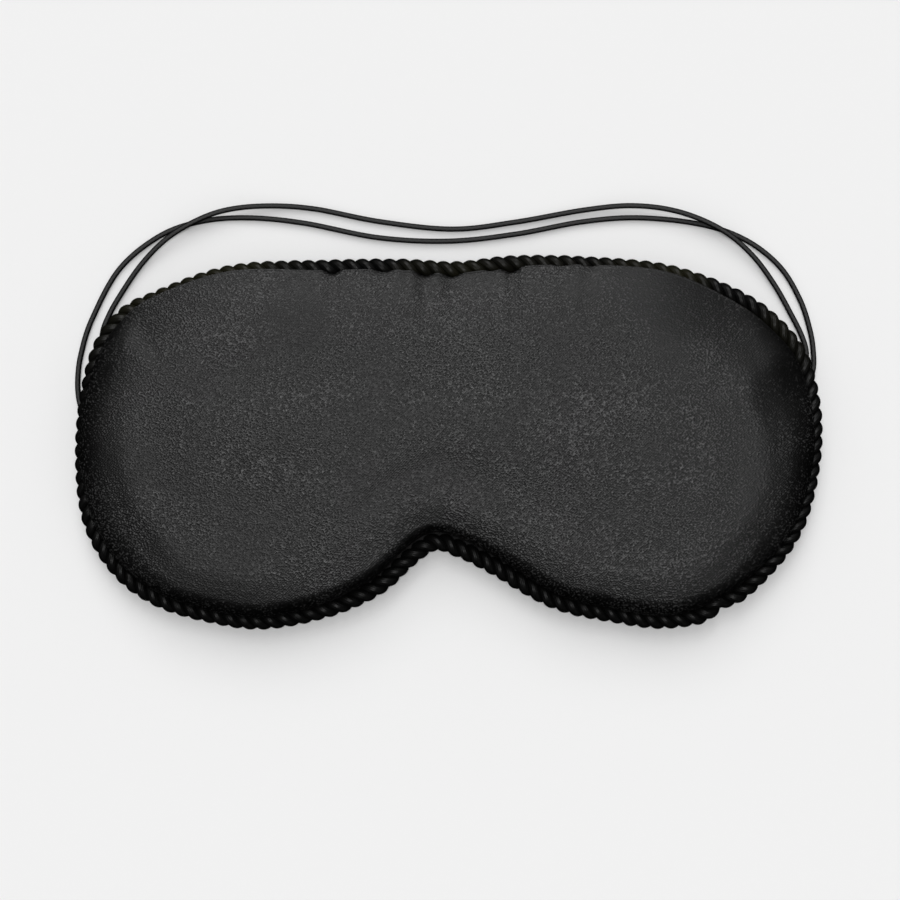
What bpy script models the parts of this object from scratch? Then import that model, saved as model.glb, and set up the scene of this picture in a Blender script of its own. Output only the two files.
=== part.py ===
"""Padded satin sleep eye mask with a twisted cord round its edge and two round elastic head straps.

The mask lies flat with its front up: +X across its width, +Y towards the brow, +Z out of the front.
The origin is the middle of the mask body on the surface that it lies on. Metres throughout; routes
and profiles are given in millimetres and scaled by MM.
"""

import math

import bmesh
import bpy
import numpy as np
from mathutils import Vector

MM = 0.001

# Edge cord, sewn round the whole mask. Its middle runs through EDGE_ROUTE, anticlockwise from the
# place at the lower right where its two ends meet.
EDGE_CORD_D = 5.2 * MM
EDGE_CORD_Z = 4.6 * MM
EDGE_CORD_JOIN_GAP = 1.6 * MM
EDGE_STEPS = 3
EDGE_CORD_POINTS = 92
SMOOTH_STEPS = 24
EDGE_ROUTE = (
    (75.0, -46.4), (87.4, -37.2), (98.0, -22.5), (102.6, 0.5), (99.6, 21.6), (91.1, 33.5),
    (79.1, 41.4), (61.1, 47.6), (40.0, 49.7), (18.4, 50.1), (2.3, 48.4), (-13.7, 49.1),
    (-35.6, 48.8), (-61.1, 47.4), (-82.1, 40.2), (-92.1, 34.6), (-98.9, 23.4), (-102.5, 2.1),
    (-101.0, -20.2), (-93.4, -34.8), (-82.0, -43.6), (-67.0, -48.3), (-52.0, -50.1),
    (-34.7, -46.9), (-20.2, -40.6), (-10.7, -32.2), (-4.0, -28.0), (3.2, -30.0), (12.4, -34.6),
    (29.4, -44.2), (45.1, -48.0), (61.3, -49.9),
)

# Fabric layers. Each height belongs to one ring: four rings follow the seam at SEAM_INSETS from the
# cord's middle, and two shrink towards the spine, the short line along the middle of the mask.
SEAM_INSETS = (3.0 * MM, 4.8 * MM, 7.5 * MM, 12.0 * MM)
SPINE_STEPS = (0.45, 0.85)
SPINE_LENGTH_SHARE = 0.62
SPINE_Y = 2.0 * MM
FRONT_HEIGHTS = (5.7, 8.0, 9.6, 10.9, 11.9, 12.3)
BACK_HEIGHTS = (3.1, 1.7, 0.7, 0.0)
SATIN_T = 0.7
TAPE_T = 0.35
INTERLINING_T = 0.5
LAYER_GAP = 0.45
TAPE_GAP = 0.35

# Sewing threads, lying in the valley between the front panel and the edge cord.
THREAD_D = 0.3 * MM
SEAM_THREAD_INSET, SEAM_THREAD_Z = 2.75 * MM, 6.15 * MM
CLOSING_THREAD_INSET, CLOSING_THREAD_Z = 3.1 * MM, 6.9 * MM
CLOSING_THREAD_X = (-34.0 * MM, 22.0 * MM)
JOIN_STITCH_RING_R = 1.9 * MM
JOIN_STITCH_THREAD_D = 0.8 * MM
JOIN_STITCH_STEPS = 16

# Elastic head straps. Each runs from its sewn-in left end, under the edge cord, out over the surface
# in an arch above the brow, and back under the edge cord to its sewn-in right end.
ELASTIC_D = 1.5 * MM
LOWER_ROUTE = (
    (-99.0, 3.6, 1.3), (-100.8, 5.3, 1.0), (-103.3, 8.4, 0.95), (-104.6, 12.4, 0.95),
    (-104.9, 18.0, 0.9), (-104.0, 25.0, 0.8), (-100.9, 34.8, 0.8), (-93.2, 48.9, 0.8),
    (-82.0, 58.2, 0.8), (-70.4, 62.4, 0.8), (-57.0, 63.5, 0.8), (-41.0, 62.0, 0.8),
    (-20.0, 57.9, 0.8), (0.0, 56.9, 0.8), (19.0, 58.9, 0.8), (38.0, 62.4, 0.8),
    (54.0, 63.5, 0.8), (71.5, 61.6, 0.8), (84.0, 57.2, 0.8), (93.5, 49.8, 0.8),
    (99.3, 40.4, 0.8), (102.2, 31.5, 0.85), (103.1, 25.2, 0.95), (103.0, 20.6, 0.95),
    (101.5, 16.5, 0.95), (98.7, 14.0, 1.3),
)
UPPER_ROUTE = (
    (-95.2, 22.8, 1.3), (-96.6, 24.4, 1.0), (-97.9, 27.4, 0.95), (-97.9, 30.9, 0.95),
    (-96.7, 34.6, 0.9), (-93.7, 40.3, 0.9), (-87.0, 50.1, 1.4), (-79.4, 57.6, 2.5),
    (-70.6, 62.8, 2.9), (-62.0, 65.7, 2.5), (-51.0, 66.8, 1.4), (-38.0, 66.0, 0.9),
    (-19.4, 62.4, 0.8), (1.0, 60.3, 0.8), (19.0, 62.3, 0.9), (38.0, 65.6, 1.4),
    (52.0, 66.8, 2.1), (65.0, 65.0, 2.7), (76.9, 60.0, 2.9), (85.5, 53.0, 2.2),
    (92.0, 44.6, 1.3), (96.9, 36.0, 0.9), (99.6, 30.6, 0.9), (101.0, 26.2, 0.95),
    (100.8, 22.4, 0.95), (99.2, 19.4, 0.95), (96.8, 17.8, 1.3),
)
LOWER_EXITS = (3, 22)
UPPER_EXITS = (3, 23)
STRAP_POINTS = 78
END_POINTS = 6
ROOT_REACH = 9.0 * MM
ROOT_GAP = 0.4 * MM

# Bar tacks, each a block of close stitches behind a sewn-in end.
TACK_SIZE = Vector((1.2, 2.4, 0.9)) * MM
TACK_BEHIND_END = 0.95 * MM
TACK_Z = 0.8 * MM

# Colours are linear, then roughness. Nothing here is metal.
SATIN = ((0.038, 0.038, 0.038), 0.42)
LINING = ((0.030, 0.030, 0.031), 0.45)
CORD_BLACK = ((0.008, 0.008, 0.008), 0.38)
ELASTIC_GREY = ((0.030, 0.030, 0.030), 0.7)
THREAD_BLACK = ((0.010, 0.010, 0.010), 0.6)
TAPE_BLACK = ((0.012, 0.012, 0.012), 0.8)
INTERLINING_BLACK = ((0.006, 0.006, 0.006), 0.9)
WADDING_WHITE = ((0.80, 0.80, 0.77), 0.95)


def clear_scene():
    for old in list(bpy.data.objects):
        bpy.data.objects.remove(old, do_unlink=True)


def finish_object(obj, finish):
    """Links the object and gives it its own material."""
    colour, roughness = finish
    material = bpy.data.materials.new(obj.name + "_material")
    material.use_nodes = True
    shader = material.node_tree.nodes["Principled BSDF"]
    shader.inputs["Base Color"].default_value = (*colour, 1.0)
    shader.inputs["Roughness"].default_value = roughness
    shader.inputs["Metallic"].default_value = 0.0
    material.diffuse_color = (*colour, 1.0)
    obj.data.materials.append(material)
    bpy.context.scene.collection.objects.link(obj)
    return obj


def catmull_rom(before, start, end, after, t):
    return 0.5 * (
        2.0 * start
        + (end - before) * t
        + (2.0 * before - 5.0 * start + 4.0 * end - after) * t**2
        + (3.0 * start - before - 3.0 * end + after) * t**3
    )


def closed_curve(route, steps):
    """A smooth closed curve through the route, with the given number of points to each span."""
    points = np.array(route) * MM
    count = len(points)
    spans = [[points[(i + k) % count] for k in (-1, 0, 1, 2)] for i in range(count)]
    return np.array([catmull_rom(*span, k / steps) for span in spans for k in range(steps)])


def open_curve(route, steps=SMOOTH_STEPS):
    """A smooth open curve through the route, densely sampled."""
    points = np.array(route) * MM
    ends = 2.0 * points[0] - points[1], 2.0 * points[-1] - points[-2]
    padded = np.vstack([ends[0], points, ends[1]])
    spans = [padded[i:i + 4] for i in range(len(points) - 1)]
    curve = [catmull_rom(*span, k / steps) for span in spans for k in range(steps)]
    return np.array(curve + [points[-1]])


def arc_lengths(curve):
    return np.concatenate([[0.0], np.cumsum(np.linalg.norm(np.diff(curve, axis=0), axis=1))])


def stretch_of(curve, start, end, count):
    """Evenly spaced points along the curve between two arc lengths."""
    lengths = arc_lengths(curve)
    wanted = np.linspace(start, end, count)
    return np.stack([np.interp(wanted, lengths, curve[:, k]) for k in range(3)], axis=1)


def inset(loop, distance):
    """The closed anticlockwise loop, moved inwards by a distance."""
    tangent = np.roll(loop, -1, axis=0) - np.roll(loop, 1, axis=0)
    tangent /= np.linalg.norm(tangent, axis=1, keepdims=True)
    return loop + distance * np.stack([-tangent[:, 1], tangent[:, 0]], axis=1)


def towards_spine(loop, share):
    spine = np.stack([loop[:, 0] * SPINE_LENGTH_SHARE, np.full(len(loop), SPINE_Y)], axis=1)
    return loop + share * (spine - loop)


def fabric_rings(edge):
    seam_rings = [inset(edge, distance) for distance in SEAM_INSETS]
    return seam_rings + [towards_spine(seam_rings[-1], share) for share in SPINE_STEPS]


def at_height(ring, height):
    return [(x, y, height * MM) for x, y in ring]


def surface(rings, heights, first=0):
    """Rings at their heights, from the one nearest the seam inwards."""
    return [at_height(rings[first + i], height) for i, height in enumerate(heights)]


def add_bands(verts, faces, loops, closed=False):
    """Joins successive loops with quads and returns the index of each loop's first vertex."""
    starts = []
    for loop in loops:
        starts.append(len(verts))
        verts.extend(loop)
    size = len(loops[0])
    pairs = list(zip(starts, starts[1:] + starts[:1] if closed else starts[1:]))
    for low, high in pairs:
        for i in range(size):
            j = (i + 1) % size
            faces.append((low + i, low + j, high + j, high + i))
    return starts


def mesh_object(name, verts, faces, finish, sharp_angle=40.0):
    mesh = bpy.data.meshes.new(name)
    mesh.from_pydata([tuple(v) for v in verts], [], faces)
    shaped = bmesh.new()
    shaped.from_mesh(mesh)
    bmesh.ops.recalc_face_normals(shaped, faces=shaped.faces[:])
    shaped.to_mesh(mesh)
    shaped.free()
    mesh.shade_smooth()
    mesh.set_sharp_from_angle(angle=np.radians(sharp_angle))
    return finish_object(bpy.data.objects.new(name, mesh), finish)


def layer(name, top, bottom, finish):
    """A closed layer: top and bottom surfaces, each capped in the middle, joined along the seam."""
    verts, faces = [], []
    starts = add_bands(verts, faces, top[::-1] + bottom)
    size = len(top[0])
    faces.append(tuple(range(starts[0], starts[0] + size)))
    faces.append(tuple(range(starts[-1], starts[-1] + size)))
    return mesh_object(name, verts, faces, finish)


def lowered(heights, distance):
    return tuple(height - distance for height in heights)


def raised(heights, distance):
    return tuple(height + distance for height in heights)


def build_fabric(rings):
    """The two satin panels and what lies between them."""
    front_under = lowered(FRONT_HEIGHTS, SATIN_T)
    layer("front_panel", surface(rings, FRONT_HEIGHTS), surface(rings, front_under), SATIN)
    back_upper = raised(BACK_HEIGHTS, SATIN_T)
    layer("back_panel", surface(rings, back_upper), surface(rings, BACK_HEIGHTS), LINING)

    interlining_top = lowered(front_under[1:], LAYER_GAP)
    interlining_under = lowered(interlining_top, INTERLINING_T)
    layer(
        "blackout_interlining",
        surface(rings, interlining_top, first=1),
        surface(rings, interlining_under, first=1),
        INTERLINING_BLACK,
    )

    tape_under = raised(back_upper[:3], TAPE_GAP)
    tape_top = raised(tape_under, TAPE_T)
    build_tape(surface(rings, tape_top), surface(rings, tape_under))

    pad_under = raised(tape_top[1:], TAPE_GAP) + (back_upper[3] + TAPE_GAP,)
    pad_top = lowered(interlining_under, LAYER_GAP)
    layer(
        "wadding_pad",
        surface(rings, pad_top, first=1),
        surface(rings, pad_under, first=1),
        WADDING_WHITE,
    )


def build_tape(top, under):
    """The flat tape that carries the edge cord, an open ring in the seam."""
    verts, faces = [], []
    add_bands(verts, faces, top + under[::-1], closed=True)
    mesh_object("cord_lip_tape", verts, faces, TAPE_BLACK)


def tube(name, points, diameter, finish, origin=(0.0, 0.0, 0.0), sides_level=2, cyclic=False):
    """A round cord along the points, with its ends closed."""
    curve = bpy.data.curves.new(name, "CURVE")
    curve.dimensions = "3D"
    curve.twist_mode = "Z_UP"
    curve.bevel_depth = diameter / 2.0
    curve.bevel_resolution = sides_level
    curve.use_fill_caps = not cyclic
    spline = curve.splines.new("POLY")
    spline.points.add(len(points) - 1)
    for place, point in zip(spline.points, points):
        place.co = (*(Vector(point) - Vector(origin)), 1.0)
        place.radius = 1.0
    spline.use_cyclic_u = cyclic
    spline.use_smooth = True
    cord = finish_object(bpy.data.objects.new(name, curve), finish)
    cord.location = origin
    return cord


def build_edge_cord():
    """The edge cord, open by a small gap where its ends meet, and the stitches in that gap."""
    edge = closed_curve(EDGE_ROUTE, SMOOTH_STEPS)
    loop = np.column_stack([edge, np.full(len(edge), EDGE_CORD_Z)])
    loop = np.vstack([loop, loop[:1]])
    total = arc_lengths(loop)[-1]
    half_gap = EDGE_CORD_JOIN_GAP / 2.0
    points = stretch_of(loop, half_gap, total - half_gap, EDGE_CORD_POINTS)
    tube("edge_cord", points, EDGE_CORD_D, CORD_BLACK)
    build_join_stitch(Vector(loop[0]), Vector(loop[1] - loop[-2]).normalized())


def build_join_stitch(centre, along):
    """A ring of thread round the axis of the cord, between its two ends."""
    up = Vector((0.0, 0.0, 1.0))
    side = along.cross(up)
    ring = []
    for turn in range(JOIN_STITCH_STEPS):
        angle = 2.0 * math.pi * turn / JOIN_STITCH_STEPS
        ring.append(centre + JOIN_STITCH_RING_R * (math.cos(angle) * side + math.sin(angle) * up))
    tube("cord_join_stitch", ring, JOIN_STITCH_THREAD_D, THREAD_BLACK, sides_level=1, cyclic=True)


def build_threads(edge):
    valley = inset(edge, SEAM_THREAD_INSET)
    seam = np.column_stack([valley, np.full(len(valley), SEAM_THREAD_Z)])
    tube("seam_thread", seam, THREAD_D, THREAD_BLACK, sides_level=0, cyclic=True)

    valley = inset(edge, CLOSING_THREAD_INSET)
    low, high = CLOSING_THREAD_X
    brow = [(x, y, CLOSING_THREAD_Z) for x, y in valley if low <= x <= high and y > 0.0]
    tube("gap_closing_thread", brow, THREAD_D, THREAD_BLACK, sides_level=0)


def build_strap(name, route, exits):
    """One elastic strap: its two sewn-in ends, and the free arch that swings about its exits."""
    curve = open_curve(route)
    lengths = arc_lengths(curve)
    left_exit, right_exit = (lengths[i * SMOOTH_STEPS] for i in exits)
    left_root, right_root = left_exit + ROOT_REACH, right_exit - ROOT_REACH
    left = stretch_of(curve, 0.0, left_root, END_POINTS)
    right = stretch_of(curve, right_root, lengths[-1], END_POINTS)
    arch = stretch_of(curve, left_root + ROOT_GAP, right_root - ROOT_GAP, STRAP_POINTS)
    tube(name + "_left_end", left, ELASTIC_D, ELASTIC_GREY)
    tube(name + "_right_end", right, ELASTIC_D, ELASTIC_GREY)
    tube(name, arch, ELASTIC_D, ELASTIC_GREY, origin=Vector(route[exits[0]]) * MM)
    return behind(left[0], left[1]), behind(right[-1], right[-2])


def behind(end, neighbour):
    """The place and heading of a tack just behind a sewn-in end."""
    heading = Vector(end - neighbour)
    heading.z = 0.0
    heading.normalize()
    place = Vector(end) + heading * TACK_BEHIND_END
    place.z = TACK_Z
    return place, heading


def build_tack(name, place, heading, size=TACK_SIZE):
    """A bar tack across the end of the elastic."""
    block = bmesh.new()
    bmesh.ops.create_cube(block, size=1.0)
    bmesh.ops.scale(block, vec=size, verts=block.verts)
    bmesh.ops.bevel(block, geom=block.edges[:], offset=0.2 * MM, segments=1, affect="EDGES")
    mesh = bpy.data.meshes.new(name)
    block.to_mesh(mesh)
    block.free()
    tack = finish_object(bpy.data.objects.new(name, mesh), THREAD_BLACK)
    tack.rotation_euler.z = np.arctan2(heading.y, heading.x)
    tack.location = place


def main():
    clear_scene()
    edge = closed_curve(EDGE_ROUTE, EDGE_STEPS)
    build_fabric(fabric_rings(edge))
    build_edge_cord()
    build_threads(edge)
    lower_left, lower_right = build_strap("lower_strap", LOWER_ROUTE, LOWER_EXITS)
    upper_left, upper_right = build_strap("upper_strap", UPPER_ROUTE, UPPER_EXITS)
    build_tack("lower_strap_left_tack", *lower_left)
    build_tack("lower_strap_right_tack", *lower_right)
    build_tack("upper_strap_left_tack", *upper_left)
    build_tack("upper_strap_right_tack", *upper_right)


main()
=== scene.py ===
"""Looks of the padded satin sleep eye mask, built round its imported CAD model.

The mask lies on its back with its front up: +X across its width, +Y towards the brow, +Z out of the
front. Metres throughout; routes and profiles are given in millimetres and scaled by MM.
"""

import math

import bpy
import numpy as np
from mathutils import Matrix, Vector, noise


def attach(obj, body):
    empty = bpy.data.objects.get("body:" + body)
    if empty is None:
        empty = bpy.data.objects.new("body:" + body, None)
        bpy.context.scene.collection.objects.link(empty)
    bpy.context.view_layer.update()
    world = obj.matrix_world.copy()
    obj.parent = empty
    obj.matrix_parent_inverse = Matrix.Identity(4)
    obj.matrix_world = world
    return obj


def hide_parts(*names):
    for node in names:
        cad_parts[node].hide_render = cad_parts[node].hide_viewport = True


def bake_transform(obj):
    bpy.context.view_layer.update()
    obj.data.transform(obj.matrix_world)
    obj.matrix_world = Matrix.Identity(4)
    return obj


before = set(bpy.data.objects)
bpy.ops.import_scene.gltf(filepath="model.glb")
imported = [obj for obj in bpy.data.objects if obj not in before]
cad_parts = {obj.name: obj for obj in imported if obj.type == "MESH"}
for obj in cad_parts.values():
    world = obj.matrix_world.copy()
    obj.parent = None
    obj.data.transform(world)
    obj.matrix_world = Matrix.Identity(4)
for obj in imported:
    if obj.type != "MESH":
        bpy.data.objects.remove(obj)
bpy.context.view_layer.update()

MM = 0.001
UP = np.array([0.0, 0.0, 1.0])
SMOOTH_STEPS = 24

# Routes, as in the CAD source. The edge cord runs anticlockwise from the place at the lower right
# where its two ends meet. Each elastic runs from its sewn-in left end to its sewn-in right end.
EDGE_CORD_Z = 4.6 * MM
EDGE_ROUTE = (
    (75.0, -46.4), (87.4, -37.2), (98.0, -22.5), (102.6, 0.5), (99.6, 21.6), (91.1, 33.5),
    (79.1, 41.4), (61.1, 47.6), (40.0, 49.7), (18.4, 50.1), (2.3, 48.4), (-13.7, 49.1),
    (-35.6, 48.8), (-61.1, 47.4), (-82.1, 40.2), (-92.1, 34.6), (-98.9, 23.4), (-102.5, 2.1),
    (-101.0, -20.2), (-93.4, -34.8), (-82.0, -43.6), (-67.0, -48.3), (-52.0, -50.1),
    (-34.7, -46.9), (-20.2, -40.6), (-10.7, -32.2), (-4.0, -28.0), (3.2, -30.0), (12.4, -34.6),
    (29.4, -44.2), (45.1, -48.0), (61.3, -49.9),
)
ELASTIC_D = 1.5 * MM
LOWER_ROUTE = (
    (-99.0, 3.6, 1.3), (-100.8, 5.3, 1.0), (-103.3, 8.4, 0.95), (-104.6, 12.4, 0.95),
    (-104.9, 18.0, 0.9), (-104.0, 25.0, 0.8), (-100.9, 34.8, 0.8), (-93.2, 48.9, 0.8),
    (-82.0, 58.2, 0.8), (-70.4, 62.4, 0.8), (-57.0, 63.5, 0.8), (-41.0, 62.0, 0.8),
    (-20.0, 57.9, 0.8), (0.0, 56.9, 0.8), (19.0, 58.9, 0.8), (38.0, 62.4, 0.8),
    (54.0, 63.5, 0.8), (71.5, 61.6, 0.8), (84.0, 57.2, 0.8), (93.5, 49.8, 0.8),
    (99.3, 40.4, 0.8), (102.2, 31.5, 0.85), (103.1, 25.2, 0.95), (103.0, 20.6, 0.95),
    (101.5, 16.5, 0.95), (98.7, 14.0, 1.3),
)
UPPER_ROUTE = (
    (-95.2, 22.8, 1.3), (-96.6, 24.4, 1.0), (-97.9, 27.4, 0.95), (-97.9, 30.9, 0.95),
    (-96.7, 34.6, 0.9), (-93.7, 40.3, 0.9), (-87.0, 50.1, 1.4), (-79.4, 57.6, 2.5),
    (-70.6, 62.8, 2.9), (-62.0, 65.7, 2.5), (-51.0, 66.8, 1.4), (-38.0, 66.0, 0.9),
    (-19.4, 62.4, 0.8), (1.0, 60.3, 0.8), (19.0, 62.3, 0.9), (38.0, 65.6, 1.4),
    (52.0, 66.8, 2.1), (65.0, 65.0, 2.7), (76.9, 60.0, 2.9), (85.5, 53.0, 2.2),
    (92.0, 44.6, 1.3), (96.9, 36.0, 0.9), (99.6, 30.6, 0.9), (101.0, 26.2, 0.95),
    (100.8, 22.4, 0.95), (99.2, 19.4, 0.95), (96.8, 17.8, 1.3),
)
# Spacing of the points along each elastic.
ELASTIC_STEP = 0.32 * MM
ELASTIC_SIDES = 28
# The braid: yarns round it, turns per millimetre, and the relief as a share of the radius.
PLAITS, PLAIT_TURNS, PLAIT_RELIEF = 6.0, 0.72, 0.035

# Rope: two strands laid together, each wound round the cord's middle once in every LAY.
STRANDS = 2
LAY = 7.6 * MM
HELIX_R = 1.20 * MM
STRAND_RADIAL_R = 1.40 * MM
STRAND_SIDE_R = 1.44 * MM
ROPE_STEP = 0.30 * MM
STRAND_SIDES = 26
# At the join, the rope starts this far before the middle of the join and ends this far after it.
LEAVES_BEFORE, ARRIVES_AFTER = 2.4 * MM, 3.0 * MM
JOIN_REACH = 7.0 * MM

# Padded body. Front rings go from the seam, round the rolled edge, to where the roll ends; then
# towards the spine, the short line along the middle of the mask.
AROUND = 300
SEAM_INSET = 3.0
FRONT_SEAM_Z = 5.7
ROLL_INSET = 20.0
ROLL_STEPS = 14
CROWN_Z = 13.1
DOME = 0.5
BROW_ROLL = 19.0
BROW_EASE = 0.8
CORNER_EASE = 5
SPINE_LENGTH_SHARE = 0.66
SPINE_Y = 2.0
SPINE_SHARES = tuple((k + 1) / 12 for k in range(12))
BACK_REST_Z = 0.02
BACK_PROFILE = (
    (3.0, 3.1), (3.9, 2.2), (5.2, 1.45), (7.0, 0.8), (9.5, 0.35), (12.5, 0.1), (16.5, BACK_REST_Z),
)
# How far in from the cord's middle the rolled edge of the front satin reaches, beside each point of
# EDGE_ROUTE. Where it is below 0, the satin laps over the top of the rope.
LIP = (
    1.9, 1.5, 0.5, -0.1, 1.0, 1.5, 1.0, -0.4, -0.3, 0.5, 0.6, 0.2, 0.3, -0.8, -1.0, 0.5,
    0.0, -1.2, 0.5, 1.6, 1.5, 1.0, 0.9, 1.6, 2.4, 2.7, 2.7, 2.7, 2.5, 1.8, 1.3, 1.3,
)
# Distances in from the cord's middle at which the inner layers begin to follow the front satin.
INNER_INSETS = (4.6, 5.6, 7.0, 9.0, 11.5, 14.5)
SATIN_T = 0.35
# Swelling by simulation: how many steps, how far a point may move, and how often it is calmed.
SWELL_FRAMES = 20
FRONT_SWELL, BACK_SWELL = 0.5, 0.3
SWELL_CALM = 4

SEAM_STITCHES = 176
TACK_ROWS = 9
TAPE_AROUND = 360
WHIPPING_TURNS, WHIPPING_R = 4.0, 1.7 * MM

CAMERA_PLACE = (0.35 * MM, -2.16 * MM, 0.7078)
CAMERA_LENS = 100.0
FLOOR_HALF = 6.0
SKY_LIGHT, SKY_SEEN = 0.33, 0.88

# Folds of the front satin where the turning gap is sewn up by hand: place along the brow, how far
# the satin's edge draws in, and half width.
PUCKERS = (
    (-32.5, 1.0, 1.2), (-18.2, 0.7, 2.1), (-12.4, 0.3, 1.2), (-6.8, 1.2, 1.9), (0.8, 0.9, 1.9),
    (12.3, 0.5, 1.3), (17.6, 1.4, 1.7), (31.6, 0.4, 1.6), (39.5, 0.4, 1.5),
)


# ---------------------------------------------------------------- curves and sweeps

def catmull_rom(before, start, end, after, t):
    return 0.5 * (
        2.0 * start
        + (end - before) * t
        + (2.0 * before - 5.0 * start + 4.0 * end - after) * t**2
        + (3.0 * start - before - 3.0 * end + after) * t**3
    )


def closed_curve(route, steps=SMOOTH_STEPS):
    points = np.array(route) * MM
    count = len(points)
    spans = [[points[(i + k) % count] for k in (-1, 0, 1, 2)] for i in range(count)]
    return np.array([catmull_rom(*span, k / steps) for span in spans for k in range(steps)])


def open_curve(route, steps=SMOOTH_STEPS):
    points = np.array(route) * MM
    ends = 2.0 * points[0] - points[1], 2.0 * points[-1] - points[-2]
    padded = np.vstack([ends[0], points, ends[1]])
    spans = [padded[i:i + 4] for i in range(len(points) - 1)]
    curve = [catmull_rom(*span, k / steps) for span in spans for k in range(steps)]
    return np.array(curve + [points[-1]])


def arc_lengths(curve):
    return np.concatenate([[0.0], np.cumsum(np.linalg.norm(np.diff(curve, axis=0), axis=1))])


def at_lengths(curve, wanted, lengths=None):
    """Points of the curve at the wanted arc lengths; lengths may be those of another curve."""
    lengths = arc_lengths(curve) if lengths is None else lengths
    return np.stack([np.interp(wanted, lengths, curve[:, k]) for k in range(curve.shape[1])], axis=1)


def unit(vectors):
    return vectors / np.maximum(np.linalg.norm(vectors, axis=-1, keepdims=True), 1e-12)


def smooth(low, high, value):
    t = np.clip((value - low) / (high - low), 0.0, 1.0)
    return t * t * (3.0 - 2.0 * t)


def bump_of(value, centre, half_width):
    return np.exp(-(((value - centre) / half_width) ** 2))


def new_mesh(name, verts, faces, uvs=None):
    """A smooth mesh object. uvs gives one pair to each corner of the faces, in order."""
    mesh = bpy.data.meshes.new(name)
    mesh.from_pydata(np.asarray(verts, float).tolist(), [], faces)
    if uvs is not None:
        layer = mesh.uv_layers.new(name="along")
        layer.data.foreach_set("uv", np.asarray(uvs, np.float32).ravel())
    mesh.shade_smooth()
    obj = bpy.data.objects.new(name, mesh)
    bpy.context.scene.collection.objects.link(obj)
    return obj


def sweep(path, side, across, along_r, sides):
    """Vertices, faces and UVs of a closed tube. side and across span each cross-section; along_r
    gives the two radii at each point. The ends are rounded off by the radii that the caller gives."""
    count = len(path)
    angles = 2.0 * np.pi * np.arange(sides) / sides
    ring = (
        path[:, None, :]
        + along_r[:, 0, None, None] * np.cos(angles)[None, :, None] * side[:, None, :]
        + along_r[:, 1, None, None] * np.sin(angles)[None, :, None] * across[:, None, :]
    )
    verts = ring.reshape(-1, 3)
    lengths = arc_lengths(path) / MM
    faces, uvs = [], []
    for i in range(count - 1):
        for j in range(sides):
            k = (j + 1) % sides
            faces.append((i * sides + j, i * sides + k, (i + 1) * sides + k, (i + 1) * sides + j))
            u0, u1 = j / sides, (j + 1) / sides
            uvs += [(u0, lengths[i]), (u1, lengths[i]), (u1, lengths[i + 1]), (u0, lengths[i + 1])]
    faces.append(tuple(range(sides))[::-1])
    faces.append(tuple((count - 1) * sides + j for j in range(sides)))
    uvs += [(0.0, 0.0)] * (2 * sides)
    return verts, faces, uvs


def joined(parts):
    """Several (verts, faces, uvs) as one."""
    verts, faces, uvs, first = [], [], [], 0
    for part_verts, part_faces, part_uvs in parts:
        verts.append(part_verts)
        faces += [tuple(first + v for v in face) for face in part_faces]
        uvs += part_uvs
        first += len(part_verts)
    return np.vstack(verts), faces, uvs


def rounded_ends(count, step, radius):
    """A factor for the radii that rounds off both ends of a tube."""
    along = np.arange(count) * step
    near = np.minimum(along, along[::-1])
    t = np.clip(near / radius, 0.0, 1.0)
    return np.sqrt(np.maximum(1.0 - (1.0 - t) ** 2, 0.004))


def thread_tube(points, radius, sides=8):
    """A thin thread along the points, with rounded ends."""
    points = np.asarray(points, float)
    tangent = unit(np.gradient(points, axis=0))
    steep = np.abs(tangent @ UP)[:, None] > 0.9
    reference = np.where(steep, np.array([[1.0, 0.0, 0.0]]), UP[None, :])
    side = unit(np.cross(tangent, reference))
    across = np.cross(side, tangent)
    step = arc_lengths(points)[-1] / (len(points) - 1)
    radii = radius * rounded_ends(len(points), step, radius)
    return sweep(points, side, across, np.stack([radii, radii], axis=1), sides)


# ---------------------------------------------------------------- materials

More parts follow.
